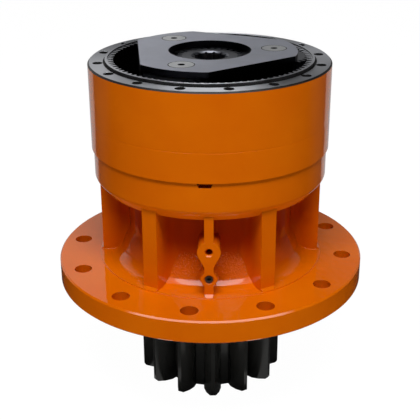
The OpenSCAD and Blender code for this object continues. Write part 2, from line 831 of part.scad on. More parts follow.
// Rubber of the oil seal, with its lip on the sleeve
module seal_lip() {
    sleeve_r = lower_bore_r + sleeve_t;
    low = z_retainer + small_edge;
    high = low + seal_h - small_edge - seal_case_t;
    body_r = seal_r - seal_case_t;
    color(rubber_color)
        rotate_extrude()
            polygon([[sleeve_r + seal_step, low], [body_r - fit_gap, low],
                [body_r - fit_gap, high - fit_gap], [sleeve_r + edge, high - fit_gap],
                [sleeve_r + rest_gap, high - seal_step], [sleeve_r + seal_step,
                    low + seal_step]]);
}

// Coil ring that presses the lip on the sleeve
module seal_spring() {
    sleeve_r = lower_bore_r + sleeve_t;
    color(bright_color)
        translate([0, 0, z_retainer + seal_h - seal_case_t + spring_r])
            rotate_extrude()
                translate([sleeve_r + edge + spring_r, 0])
                    circle(r = spring_r, $fn = 24);
}

// Plug in the lower boss, with a square socket
module drain_plug() {
    sunk = small_edge;
    length = 2 * plug_r + sunk;
    color(oxide_color)
        translate([0, -rib_face_r + sunk + length, z_plug])
            rotate([90, 0, 0])
                difference() {
                    cylinder(r = plug_r - fit_gap, h = length);
                    translate([0, 0, length - plug_r])
                        cylinder(r = plug_r * cap_socket_share, h = plug_r + over, $fn = hexagon);
                }
}

// Output shaft with its pinion, bearing seats, thread and spline
module pinion_shaft() {
    spline_root_r = spline_tip_r - spline_depth;
    z_middle = z_lower_shoulder;
    z_upper_seat = z_upper_shoulder;
    z_neck = z_nut_top + small_edge;
    drop = pinion_tip_r + over;
    color(oxide_color)
        difference() {
            union() {
                intersection() {
                    rotate(pinion_phase)
                        linear_extrude(pinion_face_w)
                            polygon(toothed(pinion_teeth, pinion_pitch_r, pinion_root_r, pinion_tip_r,
                                pinion_half()));
                    rotate_extrude()
                        polygon([[0, 0], [pinion_tip_r - pinion_chamfer, 0],
                            [pinion_tip_r + small_edge, pinion_chamfer + small_edge],
                            [pinion_tip_r + small_edge, pinion_face_w - pinion_top_chamfer],
                            [pinion_tip_r - pinion_top_chamfer, pinion_face_w],
                            [0, pinion_face_w]]);
                }
                rotate_extrude()
                    polygon([[0, z_collar - collar_h], [pinion_root_r - edge, z_collar - collar_h],
                        [pinion_root_r - edge, z_collar - small_edge], [collar_r, z_collar - small_edge],
                        [collar_r, z_sleeve], [lower_bore_r, z_sleeve], [lower_bore_r, z_middle],
                        [middle_r, z_middle + edge], [middle_r, z_upper_seat - edge],
                        [upper_bore_r, z_upper_seat - edge], [upper_bore_r, z_upper_top],
                        [thread_r, z_upper_top], [thread_r, z_neck],
                        [spline_root_r - small_edge, z_neck], [spline_root_r - small_edge, z_end_plate],
                        [0, z_end_plate]]);
                translate([0, 0, z_neck + edge])
                    linear_extrude(z_end_plate - z_neck - edge)
                        polygon(splined(spline_teeth, spline_root_r, spline_tip_r, 0));
            }
            translate([0, 0, -over])
                cylinder(r = centre_drill_r / 2, h = centre_drill_depth + 2 * over);
            translate([0, 0, -over])
                cylinder(r1 = centre_drill_r + over, r2 = 0, h = centre_drill_r + over);
            round_copies(end_bolt_count, end_bolt_circle_r, 0)
                translate([0, 0, z_end_plate - end_bolt_l])
                    cylinder(r = end_bolt_r + thread_gap, h = end_bolt_l + over);
        }
}

// Half angle of a pinion tooth at its pitch circle, wider by its shift
function pinion_half() =
    90 / pinion_teeth
    + pinion_shift * pinion_module * tan(pressure_angle) / pinion_pitch_r * 180 / PI;

// Sleeve between the pinion collar and the lower bearing, on which the seal runs
module seal_sleeve() {
    color(bright_color)
        tube(lower_bore_r + sleeve_t, lower_bore_r + fit_gap, z_sleeve, z_lower_cup);
}

// Washer with tabs under the shaft nut
module lock_washer() {
    color(bright_color)
        difference() {
            union() {
                tube(nut_r - nut_slot_depth, thread_r + fit_gap, z_lock_washer, z_nut);
                round_copies(lock_tabs, nut_r - nut_slot_depth, 0)
                    translate([-edge, -lock_tab_w / 2, z_lock_washer])
                        cube([nut_slot_depth, lock_tab_w, lock_washer_t]);
            }
        }
}

// Slotted nut that sets the bearings
module bearing_nut() {
    color(oxide_color)
        difference() {
            tube(nut_r, thread_r + fit_gap, z_nut, z_nut_top);
            round_copies(nut_slots, nut_r - nut_slot_depth, 0)
                translate([0, -nut_slot_w / 2, z_nut - over])
                    cube([nut_slot_depth + over, nut_slot_w, nut_h + 2 * over]);
        }
}

// Spaces for the planets, the pins and the pin locks of a carrier
module planet_spaces(angle, r, tip_r, pin_r, low, floor_z, plate_z, top, lock_z, outer_r) {
    round_copies(planet_count, r, angle) {
        translate([0, 0, floor_z])
            cylinder(r = tip_r + pocket_gap, h = plate_z - floor_z);
        translate([0, 0, low + edge])
            cylinder(r = pin_r + fit_gap, h = top - low);
        translate([0, 0, lock_z])
            rotate([0, 90, 0])
                cylinder(r = lock_pin_r + fit_gap, h = outer_r);
    }
}

// Pins of a stage, each with a grease hole and a cross hole for its lock
module planet_pins(angle, r, pin_r, low, top, lock_z) {
    round_copies(planet_count, r, angle)
        difference() {
            union() {
                translate([0, 0, low + edge + fit_gap])
                    cylinder(r = pin_r, h = top - low - edge - fit_gap - pin_chamfer);
                translate([0, 0, top - pin_chamfer])
                    cylinder(r1 = pin_r, r2 = pin_r - pin_chamfer, h = pin_chamfer);
            }
            translate([0, 0, low + carrier_1_floor_t])
                cylinder(r = pin_bore_r, h = top - low);
            translate([0, 0, lock_z])
                rotate([0, 90, 0])
                    cylinder(r = lock_pin_r + fit_gap, h = pin_r + over);
        }
}

// Rolled pins driven in from the rim of a carrier
module pin_locks(angle, r, pin_r, lock_z, outer_r) {
    length = outer_r - r - edge - small_edge;
    round_copies(planet_count, r, angle)
        translate([small_edge, 0, lock_z])
            rotate([0, 90, 0])
                difference() {
                    cylinder(r = lock_pin_r, h = length);
                    translate([0, 0, -over])
                        cylinder(r = lock_pin_r / 2, h = length + 2 * over);
                }
}

// Thrust washers above and below each planet
module thrust_washers(angle, r, pin_r, floor_z, plate_z) {
    for (z = [floor_z, plate_z - washer_t]) {
        round_copies(planet_count, r, angle)
            tube(pin_r + washer_rim, pin_r + rest_gap, z, z + washer_t);
    }
}

// Rollers between a planet and its pin
module planet_rollers(angle, r, pin_r, roller_r, low, w) {
    rotate(angle)
        translate([r, 0, low + roller_inset])
            round_copies(planet_roller_count, pin_r + rest_gap + roller_r, 0)
                cylinder(r = roller_r, h = w - 2 * roller_inset);
}

// One planet gear in mesh with the ring and sun
module planet_gear(angle, r, teeth, bore_r, low, w) {
    rotate(angle)
        translate([r, 0, 0])
            difference() {
                rotate(-angle)
                    gear_prism(teeth, gear_module, low, low + w, planet_phase(angle, teeth));
                translate([0, 0, low - over])
                    cylinder(r = bore_r, h = w + 2 * over);
            }
}

// Carrier of the lower stage, splined to the shaft
module carrier_2() {
    lock_z = z_carrier_2 + carrier_2_floor_t / 3;
    color(bare_color)
        difference() {
            union() {
                translate([0, 0, z_carrier_2])
                    cylinder(r = carrier_2_r, h = z_carrier_2_top - z_carrier_2);
                translate([0, 0, z_hub])
                    cylinder(r = carrier_2_hub_r, h = carrier_2_hub_h + small_edge);
            }
            planet_spaces(stage_2_angle, stage_2_r, planet_2_tip_r, pin_2_r, z_carrier_2,
                z_carrier_2_floor, z_carrier_2_plate, z_carrier_2_top, lock_z, carrier_2_r);
            translate([0, 0, z_carrier_2_floor])
                cylinder(r = carrier_2_hole_r, h = z_carrier_2_top - z_carrier_2_floor + over);
            translate([0, 0, z_end_plate])
                cylinder(r = end_plate_r, h = end_plate_t + over);
            translate([0, 0, z_hub - over])
                linear_extrude(z_end_plate - z_hub + 2 * over)
                    polygon(splined(spline_teeth, spline_tip_r - spline_depth + fit_gap,
                        spline_tip_r + fit_gap, thread_gap));
        }
}

module carrier_2_pins() {
    color(bright_color)
        planet_pins(stage_2_angle, stage_2_r, pin_2_r, z_carrier_2, z_carrier_2_top,
            z_carrier_2 + carrier_2_floor_t / 3);
}

module carrier_2_pin_locks() {
    color(bare_color)
        pin_locks(stage_2_angle, stage_2_r, pin_2_r, z_carrier_2 + carrier_2_floor_t / 3,
            carrier_2_r);
}

module carrier_2_washers() {
    color(bronze_color)
        thrust_washers(stage_2_angle, stage_2_r, pin_2_r, z_carrier_2_floor, z_carrier_2_plate);
}

// Plate that holds the lower carrier on the shaft
module shaft_end_plate() {
    color(bare_color)
        difference() {
            translate([0, 0, z_end_plate])
                cylinder(r = end_plate_r - fit_gap, h = end_plate_t - small_edge);
            round_copies(end_bolt_count, end_bolt_circle_r, 0)
                translate([0, 0, z_end_plate - over])
                    cylinder(r = end_bolt_r + thread_gap, h = end_plate_t + 2 * over);
            round_copies(end_bolt_count, end_bolt_circle_r, 0)
                translate([0, 0, z_end_plate + edge])
                    cylinder(r = cap_head_r + small_edge, h = end_plate_t);
        }
}

// Screws of the shaft end plate
module shaft_end_bolts() {
    head_h = end_plate_t - edge;
    color(oxide_color)
        round_copies(end_bolt_count, end_bolt_circle_r, 0)
            translate([0, 0, z_end_plate + edge + head_h])
                mirror([0, 0, 1])
                    cap_screw(cap_head_r, head_h, end_bolt_r, end_bolt_l - 2 * edge);
}

module planet_gear_2(k) {
    color(bare_color)
        planet_gear(stage_2_angle + k * 360 / planet_count, stage_2_r, planet_2_teeth,
            planet_2_bore_r, z_planet_2, planet_2_w);
}

module planet_rollers_2(k) {
    color(bright_color)
        planet_rollers(stage_2_angle + k * 360 / planet_count, stage_2_r, pin_2_r,
            planet_roller_2_r, z_planet_2, planet_2_w);
}

// Carrier of the upper stage, a disc with three flats
module carrier_1() {
    lock_z = z_carrier_1 + carrier_1_floor_t / 2;
    cut_w = 2 * carrier_1_r;
    color(bare_color)
        difference() {
            translate([0, 0, z_carrier_1])
                cylinder(r = carrier_1_r, h = z_carrier_1_top - z_carrier_1);
            round_copies(planet_count, carrier_1_flat, stage_1_angle + 180)
                translate([0, -cut_w / 2, z_carrier_1 - over])
                    cube([cut_w, cut_w, z_carrier_1_top - z_carrier_1 + 2 * over]);
            planet_spaces(stage_1_angle, stage_1_r, planet_1_tip_r, pin_1_r, z_carrier_1,
                z_carrier_1_floor, z_carrier_1_plate, z_carrier_1_top, lock_z, carrier_1_r);
            translate([0, 0, z_carrier_1_floor - small_edge])
                cylinder(r = sun_1_tip_r + pocket_gap,
                    h = z_carrier_1_plate - z_carrier_1_floor + small_edge);
            translate([0, 0, z_carrier_1_plate - over])
                cylinder(r = carrier_1_hole_r, h = carrier_1_plate_t + 2 * over);
            translate([0, 0, z_carrier_1_floor - 2 * snap_ring_t])
                cylinder(r = sun_2_root_r + snap_ring_rim + small_edge, h = 2 * snap_ring_t + over);
            translate([0, 0, z_carrier_1 - over])
                rotate(sun_2_phase)
                    linear_extrude(carrier_1_floor_t + 2 * over)
                        polygon(sun_2_socket());
        }
}

// Outline of the toothed hole in which the second sun gear sits
function sun_2_socket() =
    let (pitch_r = gear_module * sun_2_teeth / 2)
    toothed(sun_2_teeth, pitch_r, sun_2_root_r + fit_gap, sun_2_tip_r + thread_gap,
        gear_half(sun_2_teeth, pitch_r, 0));

module carrier_1_pins() {
    color(bright_color)
        planet_pins(stage_1_angle, stage_1_r, pin_1_r, z_carrier_1, z_carrier_1_top,
            z_carrier_1 + carrier_1_floor_t / 2);
}

module carrier_1_pin_locks() {
    color(bare_color)
        pin_locks(stage_1_angle, stage_1_r, pin_1_r, z_carrier_1 + carrier_1_floor_t / 2,
            carrier_1_r);
}

module carrier_1_washers() {
    color(bronze_color)
        thrust_washers(stage_1_angle, stage_1_r, pin_1_r, z_carrier_1_floor, z_carrier_1_plate);
}

// Sun gear of the lower stage, hung in the upper carrier by a snap ring
module sun_gear_2() {
    z_groove = z_carrier_1_floor - 2 * snap_ring_t;
    color(bare_color)
        difference() {
            gear_prism(sun_2_teeth, gear_module, z_sun_2, z_sun_2_top, sun_2_phase);
            translate([0, 0, z_sun_2 - over])
                cylinder(r = sun_2_bore_r, h = z_sun_2_top - z_sun_2 + 2 * over);
            tube(sun_2_tip_r + over, sun_2_root_r - small_edge, z_groove, z_groove + snap_ring_t
                + fit_gap);
        }
}

module sun_2_snap_ring() {
    z_groove = z_carrier_1_floor - 2 * snap_ring_t;
    color(bright_color)
        difference() {
            tube(sun_2_root_r + snap_ring_rim, sun_2_root_r - small_edge + fit_gap, z_groove,
                z_groove + snap_ring_t);
            translate([0, -snap_ring_gap_w / 2, z_groove - over])
                cube([sun_2_tip_r + snap_ring_rim, snap_ring_gap_w, snap_ring_t + 2 * over]);
        }
}

// Button that keeps the two sun gears apart
module sun_thrust_button() {
    color(bronze_color)
        union() {
            translate([0, 0, z_sun_2_top])
                cylinder(r = button_r, h = button_t);
            translate([0, 0, z_sun_2_top - button_stem_l])
                cylinder(r = sun_2_bore_r - fit_gap, h = button_stem_l + small_edge);
        }
}

module planet_gear_1(k) {
    color(bare_color)
        planet_gear(stage_1_angle + k * 360 / planet_count, stage_1_r, planet_1_teeth,
            planet_1_bore_r, z_planet_1, planet_1_w);
}

module planet_rollers_1(k) {
    color(bright_color)
        planet_rollers(stage_1_angle + k * 360 / planet_count, stage_1_r, pin_1_r,
            planet_roller_1_r, z_planet_1, planet_1_w);
}

// Sun gear of the upper stage, with the spline for the motor shaft
module sun_gear_1() {
    root_r = sun_spline_tip_r + sun_spline_depth;
    color(bare_color)
        difference() {
            gear_prism(sun_1_teeth, gear_module, z_sun_1, z_sun_1_top, sun_1_phase);
            translate([0, 0, z_sun_1 - over])
                linear_extrude(z_sun_1_top - z_sun_1 + 2 * over)
                    polygon(splined(sun_spline_teeth, sun_spline_tip_r, root_r, 0));
            translate([0, 0, z_sun_1_top - sun_spline_chamfer])
                cylinder(r1 = root_r - small_edge, r2 = root_r + sun_spline_chamfer,
                    h = sun_spline_chamfer + small_edge);
        }
}

module planet_gear_1a() { planet_gear_1(0); }
module planet_gear_1b() { planet_gear_1(1); }
module planet_gear_1c() { planet_gear_1(2); }
module planet_gear_2a() { planet_gear_2(0); }
module planet_gear_2b() { planet_gear_2(1); }
module planet_gear_2c() { planet_gear_2(2); }
module planet_rollers_1a() { planet_rollers_1(0); }
module planet_rollers_1b() { planet_rollers_1(1); }
module planet_rollers_1c() { planet_rollers_1(2); }
module planet_rollers_2a() { planet_rollers_2(0); }
module planet_rollers_2b() { planet_rollers_2(1); }
module planet_rollers_2c() { planet_rollers_2(2); }

housing();
ring_gear();
dowel_pins();
joint_o_ring();
lower_bearing_cup();
upper_bearing_cup();
bearing_retainer();
retainer_bolts();
seal_case();
seal_lip();
seal_spring();
drain_plug();
pinion_shaft();
seal_sleeve();
lower_bearing_cone();
upper_bearing_cone();
lock_washer();
bearing_nut();
carrier_2();
carrier_2_pins();
carrier_2_pin_locks();
carrier_2_washers();
shaft_end_plate();
shaft_end_bolts();
lower_bearing_rollers();
lower_bearing_cage();
upper_bearing_rollers();
upper_bearing_cage();
planet_gear_2a();
planet_gear_2b();
planet_gear_2c();
planet_rollers_2a();
planet_rollers_2b();
planet_rollers_2c();
carrier_1();
carrier_1_pins();
carrier_1_pin_locks();
carrier_1_washers();
sun_gear_2();
sun_2_snap_ring();
sun_thrust_button();
planet_gear_1a();
planet_gear_1b();
planet_gear_1c();
planet_rollers_1a();
planet_rollers_1b();
planet_rollers_1c();
sun_gear_1();
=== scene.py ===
# %% [markdown]
# # Swing gearbox
# This gearbox turns the upper part of an excavator. A hydraulic motor sits on the open top, two
# rows of planet gears slow it down, and the toothed pinion below walks round a large gear ring.
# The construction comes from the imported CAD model, where every piece already has its real size
# and place. Here the pieces get what CAD leaves out: rounded edges, paint, bare steel and light.

# %% Load the frame
import json
import math

import bpy
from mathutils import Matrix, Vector


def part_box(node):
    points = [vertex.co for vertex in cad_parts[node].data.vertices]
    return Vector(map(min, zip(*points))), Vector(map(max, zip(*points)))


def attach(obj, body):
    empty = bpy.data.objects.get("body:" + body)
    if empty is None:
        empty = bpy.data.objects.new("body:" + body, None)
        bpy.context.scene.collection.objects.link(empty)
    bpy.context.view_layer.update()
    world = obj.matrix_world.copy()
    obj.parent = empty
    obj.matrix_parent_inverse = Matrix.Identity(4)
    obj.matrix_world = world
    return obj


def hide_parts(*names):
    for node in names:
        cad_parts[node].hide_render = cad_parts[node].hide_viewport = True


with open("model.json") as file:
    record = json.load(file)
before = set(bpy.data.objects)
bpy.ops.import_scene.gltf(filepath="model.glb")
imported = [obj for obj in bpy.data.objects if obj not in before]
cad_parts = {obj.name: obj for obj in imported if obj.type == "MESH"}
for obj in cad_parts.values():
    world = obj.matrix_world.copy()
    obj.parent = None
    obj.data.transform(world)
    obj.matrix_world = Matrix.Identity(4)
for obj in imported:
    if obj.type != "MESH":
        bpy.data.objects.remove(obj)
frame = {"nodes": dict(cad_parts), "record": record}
nodes = frame["nodes"]
bpy.ops.object.select_all(action="DESELECT")
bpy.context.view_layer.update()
mm = 0.001

# %% [markdown]
# Lengths that several steps need are read from the CAD nodes, so they can't drift away from the
# model. A node's box gives its lowest and highest corner. Only the highest is needed here.

# %% Heights and radii from the frame
joint_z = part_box("housing")[1].z
ring_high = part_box("ring_gear")[1]
carrier_top_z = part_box("carrier_1")[1].z
ring_r = ring_high.x
lip_h = 3.6 * mm
ring_face_z = ring_high.z - lip_h
print("joint at", round(joint_z, 4), "ring face at", round(ring_face_z, 4))

# %% [markdown]
# ## Colour
# Colours are written as the hex values a paint chart or a screen shows. Blender's shaders work
# in linear light, so one function turns each hex value into linear numbers. Its own numbers are
# those of the sRGB standard.


# %% Hex colours to linear
def linear(hex_code):
    channels = [int(hex_code[i : i + 2], 16) / 255 for i in (1, 3, 5)]
    low = [c / 12.92 for c in channels]
    high = [((c + 0.055) / 1.055) ** 2.4 for c in channels]
    picked = [a if c <= 0.04045 else b for a, b, c in zip(low, high, channels)]
    return (*picked, 1.0)


print("mid grey", [round(c, 3) for c in linear("#808080")])

# %% [markdown]
# ## Materials
# No real finish is one even colour, so every material is a small node tree. The nodes could be
# placed one by one with their links after them, which makes a long list. Instead one function
# adds a node: it takes the kind of node, its settings, and for each socket either a value or
# another node's output to link. A second one starts a finish with the shader and the object's
# own coordinates. These are real metres, so a pattern's scale is one divided by its real size.


# %% Add a node with its settings and links
def add(tree, kind, sockets, **settings):
    made = tree.nodes.new(kind)
    for name, value in settings.items():
        setattr(made, name, value)
    for name, value in sockets.items():
        if isinstance(value, bpy.types.NodeSocket):
            tree.links.new(value, made.inputs[name])
        else:
            made.inputs[name].default_value = value
    return made


def new_finish(name, shader):
    finish = bpy.data.materials.new(name)
    finish.use_nodes = True
    tree = finish.node_tree
    tree.nodes.clear()
    surface = add(tree, "ShaderNodeBsdfPrincipled", shader)
    place = add(tree, "ShaderNodeTexCoord", {})
    add(tree, "ShaderNodeOutputMaterial", {"Surface": surface.outputs["BSDF"]})
    return finish, tree, surface, place.outputs["Object"]


print("node helper ready")

# %% [markdown]
# ### Painted shade in the pockets
# Deep in the pockets, under the band, the orange is mixed with a darker red. This is painted
# shade: the shade of the band and the ribs is put into the colour. It could be a second finish
# on the deep faces, but that would end in a hard line. So the two colours are mixed by how near
# a point is to the waist wall and how high it is under the band.

# %% Where the painted shade lies
# The darker red that stands for painted shade deep in the pockets.
shade_red = "#B43A02"
mouth_r = 140 * mm
wall_r = 118 * mm
foot_z = 168 * mm
roof_z = 232 * mm


# Mixes the painted shade into the paint, more towards the waist wall and higher under the band.
def add_painted_shade(tree, place, paint, painted_shade):
    flat = add(
        tree, "ShaderNodeVectorMath", {0: place, 1: (1, 1, 0)}, operation="MULTIPLY"
    )
    radius = add(tree, "ShaderNodeVectorMath", {0: flat.outputs["Vector"]}, operation="LENGTH")
    height = add(tree, "ShaderNodeSeparateXYZ", {"Vector": place})
    deep = add(
        tree,
        "ShaderNodeMapRange",
        {"Value": radius.outputs["Value"], "From Min": mouth_r, "From Max": wall_r},
    )
    high = add(
        tree,
        "ShaderNodeMapRange",
        {"Value": height.outputs["Z"], "From Min": foot_z, "From Max": roof_z},
    )
    share = add(
        tree, "ShaderNodeMath", {0: deep.outputs[0], 1: high.outputs[0]}, operation="MULTIPLY"
    )
    mixed = add(
        tree,
        "ShaderNodeMix",
        {"Factor": share.outputs[0], 6: paint, 7: linear(painted_shade)},
        data_type="RGBA",
    )
    return mixed.outputs[2]


print("primer shows above", round(foot_z, 3), "m")

# %% [markdown]
# ### Orange enamel
# The castings are sprayed with a glossy alkyd enamel. Sprayed enamel is never quite flat: it
# sets with a faint orange peel about a centimetre across, and its colour drifts a little where
# it pools, over about seven centimetres. It could be one glossy shader, but that would tint and
# soften what it mirrors. So the colour is dull, and a clear coat over it gives the eye a sharp
# white gloss, as enamel does.
#
# Wet paint also rounds the corners that it runs into. The Bevel node does that for the light,
# and its radius is the width of the paint in the corner.
#
# Where the iron was left as cast, sand grains stand up under the paint as small pimples. Real
# ones are about a millimetre across. They are drawn at more than twice that, or they would be
# too fine to show. Only the highest part of the noise makes a pimple, so the paint between them
# stays smooth.

# %% Hills and hollows of the paint
peel_mm = 9.09
peel_height_mm = 0.12
pimple_rise = 0.12


def paint_relief(tree, place, grain_mm, grain_height_mm, corner_mm, pimples):
    corner = add(tree, "ShaderNodeBevel", {"Radius": corner_mm * mm}, samples=6)
    peel = add(
        tree, "ShaderNodeTexNoise", {"Vector": place, "Scale": 1 / (peel_mm * mm), "Detail": 2}
    )
    soft = add(
        tree,
        "ShaderNodeBump",
        {
            "Height": peel.outputs["Fac"],
            "Distance": peel_height_mm * mm,
            "Normal": corner.outputs["Normal"],
        },
    )
    grain = add(
        tree,
        "ShaderNodeTexNoise",
        {"Vector": place, "Scale": 1 / (grain_mm * mm), "Detail": 3, "Roughness": 0.6},
    )
    height = grain.outputs["Fac"]
    if pimples:
        peak = add(
            tree,
            "ShaderNodeMapRange",
            {"Value": height, "From Min": pimples, "From Max": pimples + pimple_rise},
        )
        height = peak.outputs[0]
    rough = add(
        tree,
        "ShaderNodeBump",
        {
            "Height": height,
            "Distance": grain_height_mm * mm,
            "Normal": soft.outputs["Normal"],
        },
    )
    return rough.outputs["Normal"]


print("orange peel", peel_mm, "mm wide and", peel_height_mm, "mm high")

# %% Orange enamel
pool_mm = 71.43
thin_share = 0.3
thick_share = 0.75


def enamel(
    name,
    grain_mm,
    grain_height_mm,
    corner_mm,
    pimples=0.0,
    painted_shade="",
    thin="#DB6602",
    thick="#E26F03",
):
    gloss = {
        "Roughness": 0.5,
        "Specular IOR Level": 0.0,
        "Coat Weight": 1.0,
        "Coat Roughness": 0.035,
    }
    finish, tree, surface, place = new_finish(name, gloss)
    pool = add(
        tree, "ShaderNodeTexNoise", {"Vector": place, "Scale": 1 / (pool_mm * mm), "Detail": 3}
    )
    tint = add(tree, "ShaderNodeValToRGB", {"Fac": pool.outputs["Fac"]})
    tint.color_ramp.elements[0].position = thin_share
    tint.color_ramp.elements[0].color = linear(thin)
    tint.color_ramp.elements[1].position = thick_share
    tint.color_ramp.elements[1].color = linear(thick)
    colour = tint.outputs["Color"]
    # Painted shade: a darker red deep in the pockets under the band.
    if painted_shade:
        colour = add_painted_shade(tree, place, colour, painted_shade)
    normal = paint_relief(tree, place, grain_mm, grain_height_mm, corner_mm, pimples)
    tree.links.new(colour, surface.inputs["Base Color"])
    tree.links.new(normal, surface.inputs["Normal"])
    tree.links.new(normal, surface.inputs["Coat Normal"])
    return finish


print("pools of paint", pool_mm, "mm")

# %% [markdown]
# Four enamels share that tree. On turned iron the paint is nearly flat. On cast iron it fills
# the corners and carries the painted shade deep in the pockets. On the coarse patch it also has
# pimples. In the drilled holes the coat is rougher, and its darker colour is painted shade. One
# enamel for all could be masked by noise, but four named finishes are easier to read and to
# change.

# %% The four enamels
smooth_enamel = enamel("enamel_on_turned_iron", 3.0, 0.02, 0.4)
cast_enamel = enamel("enamel_on_cast_iron", 3.0, 0.04, 1.5, painted_shade=shade_red)
coarse_enamel = enamel(
    "enamel_on_coarse_cast_iron", 2.4, 0.5, 1.5, pimples=0.5, painted_shade=shade_red
)
# In the drilled holes the darker colour is painted shade, and the coarser bump is the rough coat.
hole_enamel_with_painted_shade = enamel(
    "rough_enamel_with_painted_shade_in_drilled_holes", 3.0, 0.1, 0.4, thin="#CC5603", thick="#DC6203"
)
print("enamels", smooth_enamel.name, cast_enamel.name, coarse_enamel.name, hole_enamel_with_painted_shade.name)

# %% [markdown]
# ### Steels
# Bare steel takes its look from the tool that cut it. A lathe leaves fine circles round the
# shaft, and they smear each highlight out across the circles. Deep grooves could be modelled, but
# real ones are a few microns deep. So a wave texture draws the circles, about a millimetre apart,
# which is coarser than real, or they wouldn't show. Anisotropy smears the highlight, with a
# tangent that runs round the shaft.

# %% Marks of the lathe
rings_apart = 0.314


def lathe_marks(tree, place, surface, marks_mm, marks_height_mm):
    marks = add(
        tree,
        "ShaderNodeTexWave",
        {
            "Vector": place,
            "Scale": rings_apart / (marks_mm * mm),
            "Distortion": 0.6,
            "Detail": 2,
            "Detail Scale": 1.5,
        },
        wave_type="RINGS",
        rings_direction="Z",
    )
    bump = add(
        tree,
        "ShaderNodeBump",
        {"Height": marks.outputs["Fac"], "Distance": marks_height_mm * mm},
    )
    tree.links.new(bump.outputs["Normal"], surface.inputs["Normal"])


def smear_across(tree, surface, turned):
    surface.inputs["Anisotropic"].default_value = turned
    surface.inputs["Anisotropic Rotation"].default_value = 0.25
    around = add(tree, "ShaderNodeTangent", {}, direction_type="RADIAL", axis="Z")
    tree.links.new(around.outputs["Tangent"], surface.inputs["Tangent"])


print("rings of a wave texture of scale 1 are", rings_apart, "m apart")

# %% [markdown]
# All the steels are one shader with its own colour, roughness and marks. A metal mirrors in its
# own colour, so no second colour is needed. A film of oil lies on all of them in faint clouds
# about three centimetres across, lighter and darker than the steel.
#
# The turned face of the ring gear is pale with long highlights. The carrier was milled and its
# pins were ground, which gives a soft grey shine. The teeth and the carrier's underside are
# darkened partly by oil and partly as painted shade, and the drilled holes, grooves and gaps
# round the pins are near black as painted shade. The pinion was blued in a hot salt bath, which
# leaves a near-black skin that still shines, so it is only partly metallic.

# %% Steel
cloud_mm = 28.57
cloud_dark = 0.86
cloud_light = 1.12


def steel(name, hex_code, rough, marks_mm=0.0, marks_height_mm=0.0, metallic=1.0, turned=0.0):
    finish, tree, surface, place = new_finish(name, {"Metallic": metallic, "Roughness": rough})
    cloud = add(
        tree, "ShaderNodeTexNoise", {"Vector": place, "Scale": 1 / (cloud_mm * mm), "Detail": 4}
    )
    tint = add(tree, "ShaderNodeValToRGB", {"Fac": cloud.outputs["Fac"]})
    base = linear(hex_code)[:3]
    tint.color_ramp.elements[0].color = (*[c * cloud_dark for c in base], 1)
    tint.color_ramp.elements[1].color = (*[min(1, c * cloud_light) for c in base], 1)
    tree.links.new(tint.outputs["Color"], surface.inputs["Base Color"])
    if marks_mm:
        lathe_marks(tree, place, surface, marks_mm, marks_height_mm)
    if turned:
        smear_across(tree, surface, turned)
    return finish


turned_steel = steel("turned_bare_steel", "#D0D2D8", 0.45, 0.8, 0.01, turned=0.85)
plate_steel = steel("milled_carrier_steel", "#DADDEA", 0.42, 1.2, 0.004)
pin_steel = steel("ground_pin_steel", "#F0F2F8", 0.34)
gear_steel = steel("oiled_gear_steel", "#6E7077", 0.36)
# Teeth and carrier undersides: dark partly with oil, partly as painted shade.
oil_and_shade_steel = steel("oiled_steel_with_painted_shade_on_teeth", "#26262A", 0.32)
blued_steel = steel("blued_pinion_steel", "#3A3A37", 0.2, metallic=0.25)
edge_black = steel("black_edge_band", "#141312", 0.45, metallic=0.4)
# Near black as painted shade, in drilled holes, grooves and gaps round pins.
shade_black_steel = steel("drilled_steel_with_painted_shade", "#0C0B0B", 0.6, metallic=0.2)
bright_steel = steel("fine_ground_steel", "#C4C6CA", 0.22)
bearing_bronze = steel("bearing_bronze", "#B08447", 0.35)
print("steels ready")

# %% [markdown]
# ### Rubber
# The seal lip and the O-ring are moulded nitrile rubber. It is nearly black and quite dull, and
# the mould leaves a faint grain of about a millimetre. Plain black would look like a hole, so
# the grain breaks up the little light that it gives back.

# %% Nitrile rubber
mould_grain_mm = 1.11


def rubber():
    finish, tree, surface, place = new_finish(
        "nitrile_rubber", {"Base Color": linear("#151515"), "Roughness": 0.62}
    )
    grain = add(
        tree,
        "ShaderNodeTexNoise",
        {"Vector": place, "Scale": 1 / (mould_grain_mm * mm), "Detail": 2},
    )
    bump = add(
        tree, "ShaderNodeBump", {"Height": grain.outputs["Fac"], "Distance": 0.05 * mm}
    )
    tree.links.new(bump.outputs["Normal"], surface.inputs["Normal"])
    return finish


seal_rubber = rubber()
print("rubber ready")

# %% [markdown]
# ## Finish of the CAD pieces
# Pieces whose CAD shape is already right only get a finish: gears, rollers, bearings, seals and
# fasteners. They could be given one by one, but the record's material slot of each node already
# says what it is made of, so one table serves them all.

# %% Give each CAD node its finish
slot_finish = {
    "orange_paint": smooth_enamel,
    "gear_steel": gear_steel,
    "black_oxide": blued_steel,
    "ground_steel": bright_steel,
    "rubber": seal_rubber,
    "bronze": bearing_bronze,
}
for part in frame["record"]["subparts"]:
    mesh = nodes[part["node"]].data
    mesh.materials.clear()
    mesh.materials.append(slot_finish[part["material_slot"]])

# %% [markdown]
# ## Rounded edges
# A real casting has no knife edge, and the light on its rounded edges is what makes it look
# heavy. CAD edges are sharp. A shader could round them for the light alone, but the outline would
# stay sharp. So a visible node is copied, its loose triangles are merged, and its edges are
# bevelled. The copy then stands for the node.
#
# Triangles that lie in one plane are joined into one face first, because a bevel runs cleaner
# along large faces. The ring gear keeps its triangles: round its seam are flat rings a tenth of a
# millimetre wide, and Blender fills such a thin joined ring as a whole disc.
#
# Smooth shading averages the normals at each corner, and a narrow bevel would tilt those of the
# large face beside it, which shows as streaks in a gloss. Weighted normals let the large face
# win, so flat faces mirror as flat ones.

# %% Merge loose triangles
weld_mm = 0.002
flat_degrees = 0.6


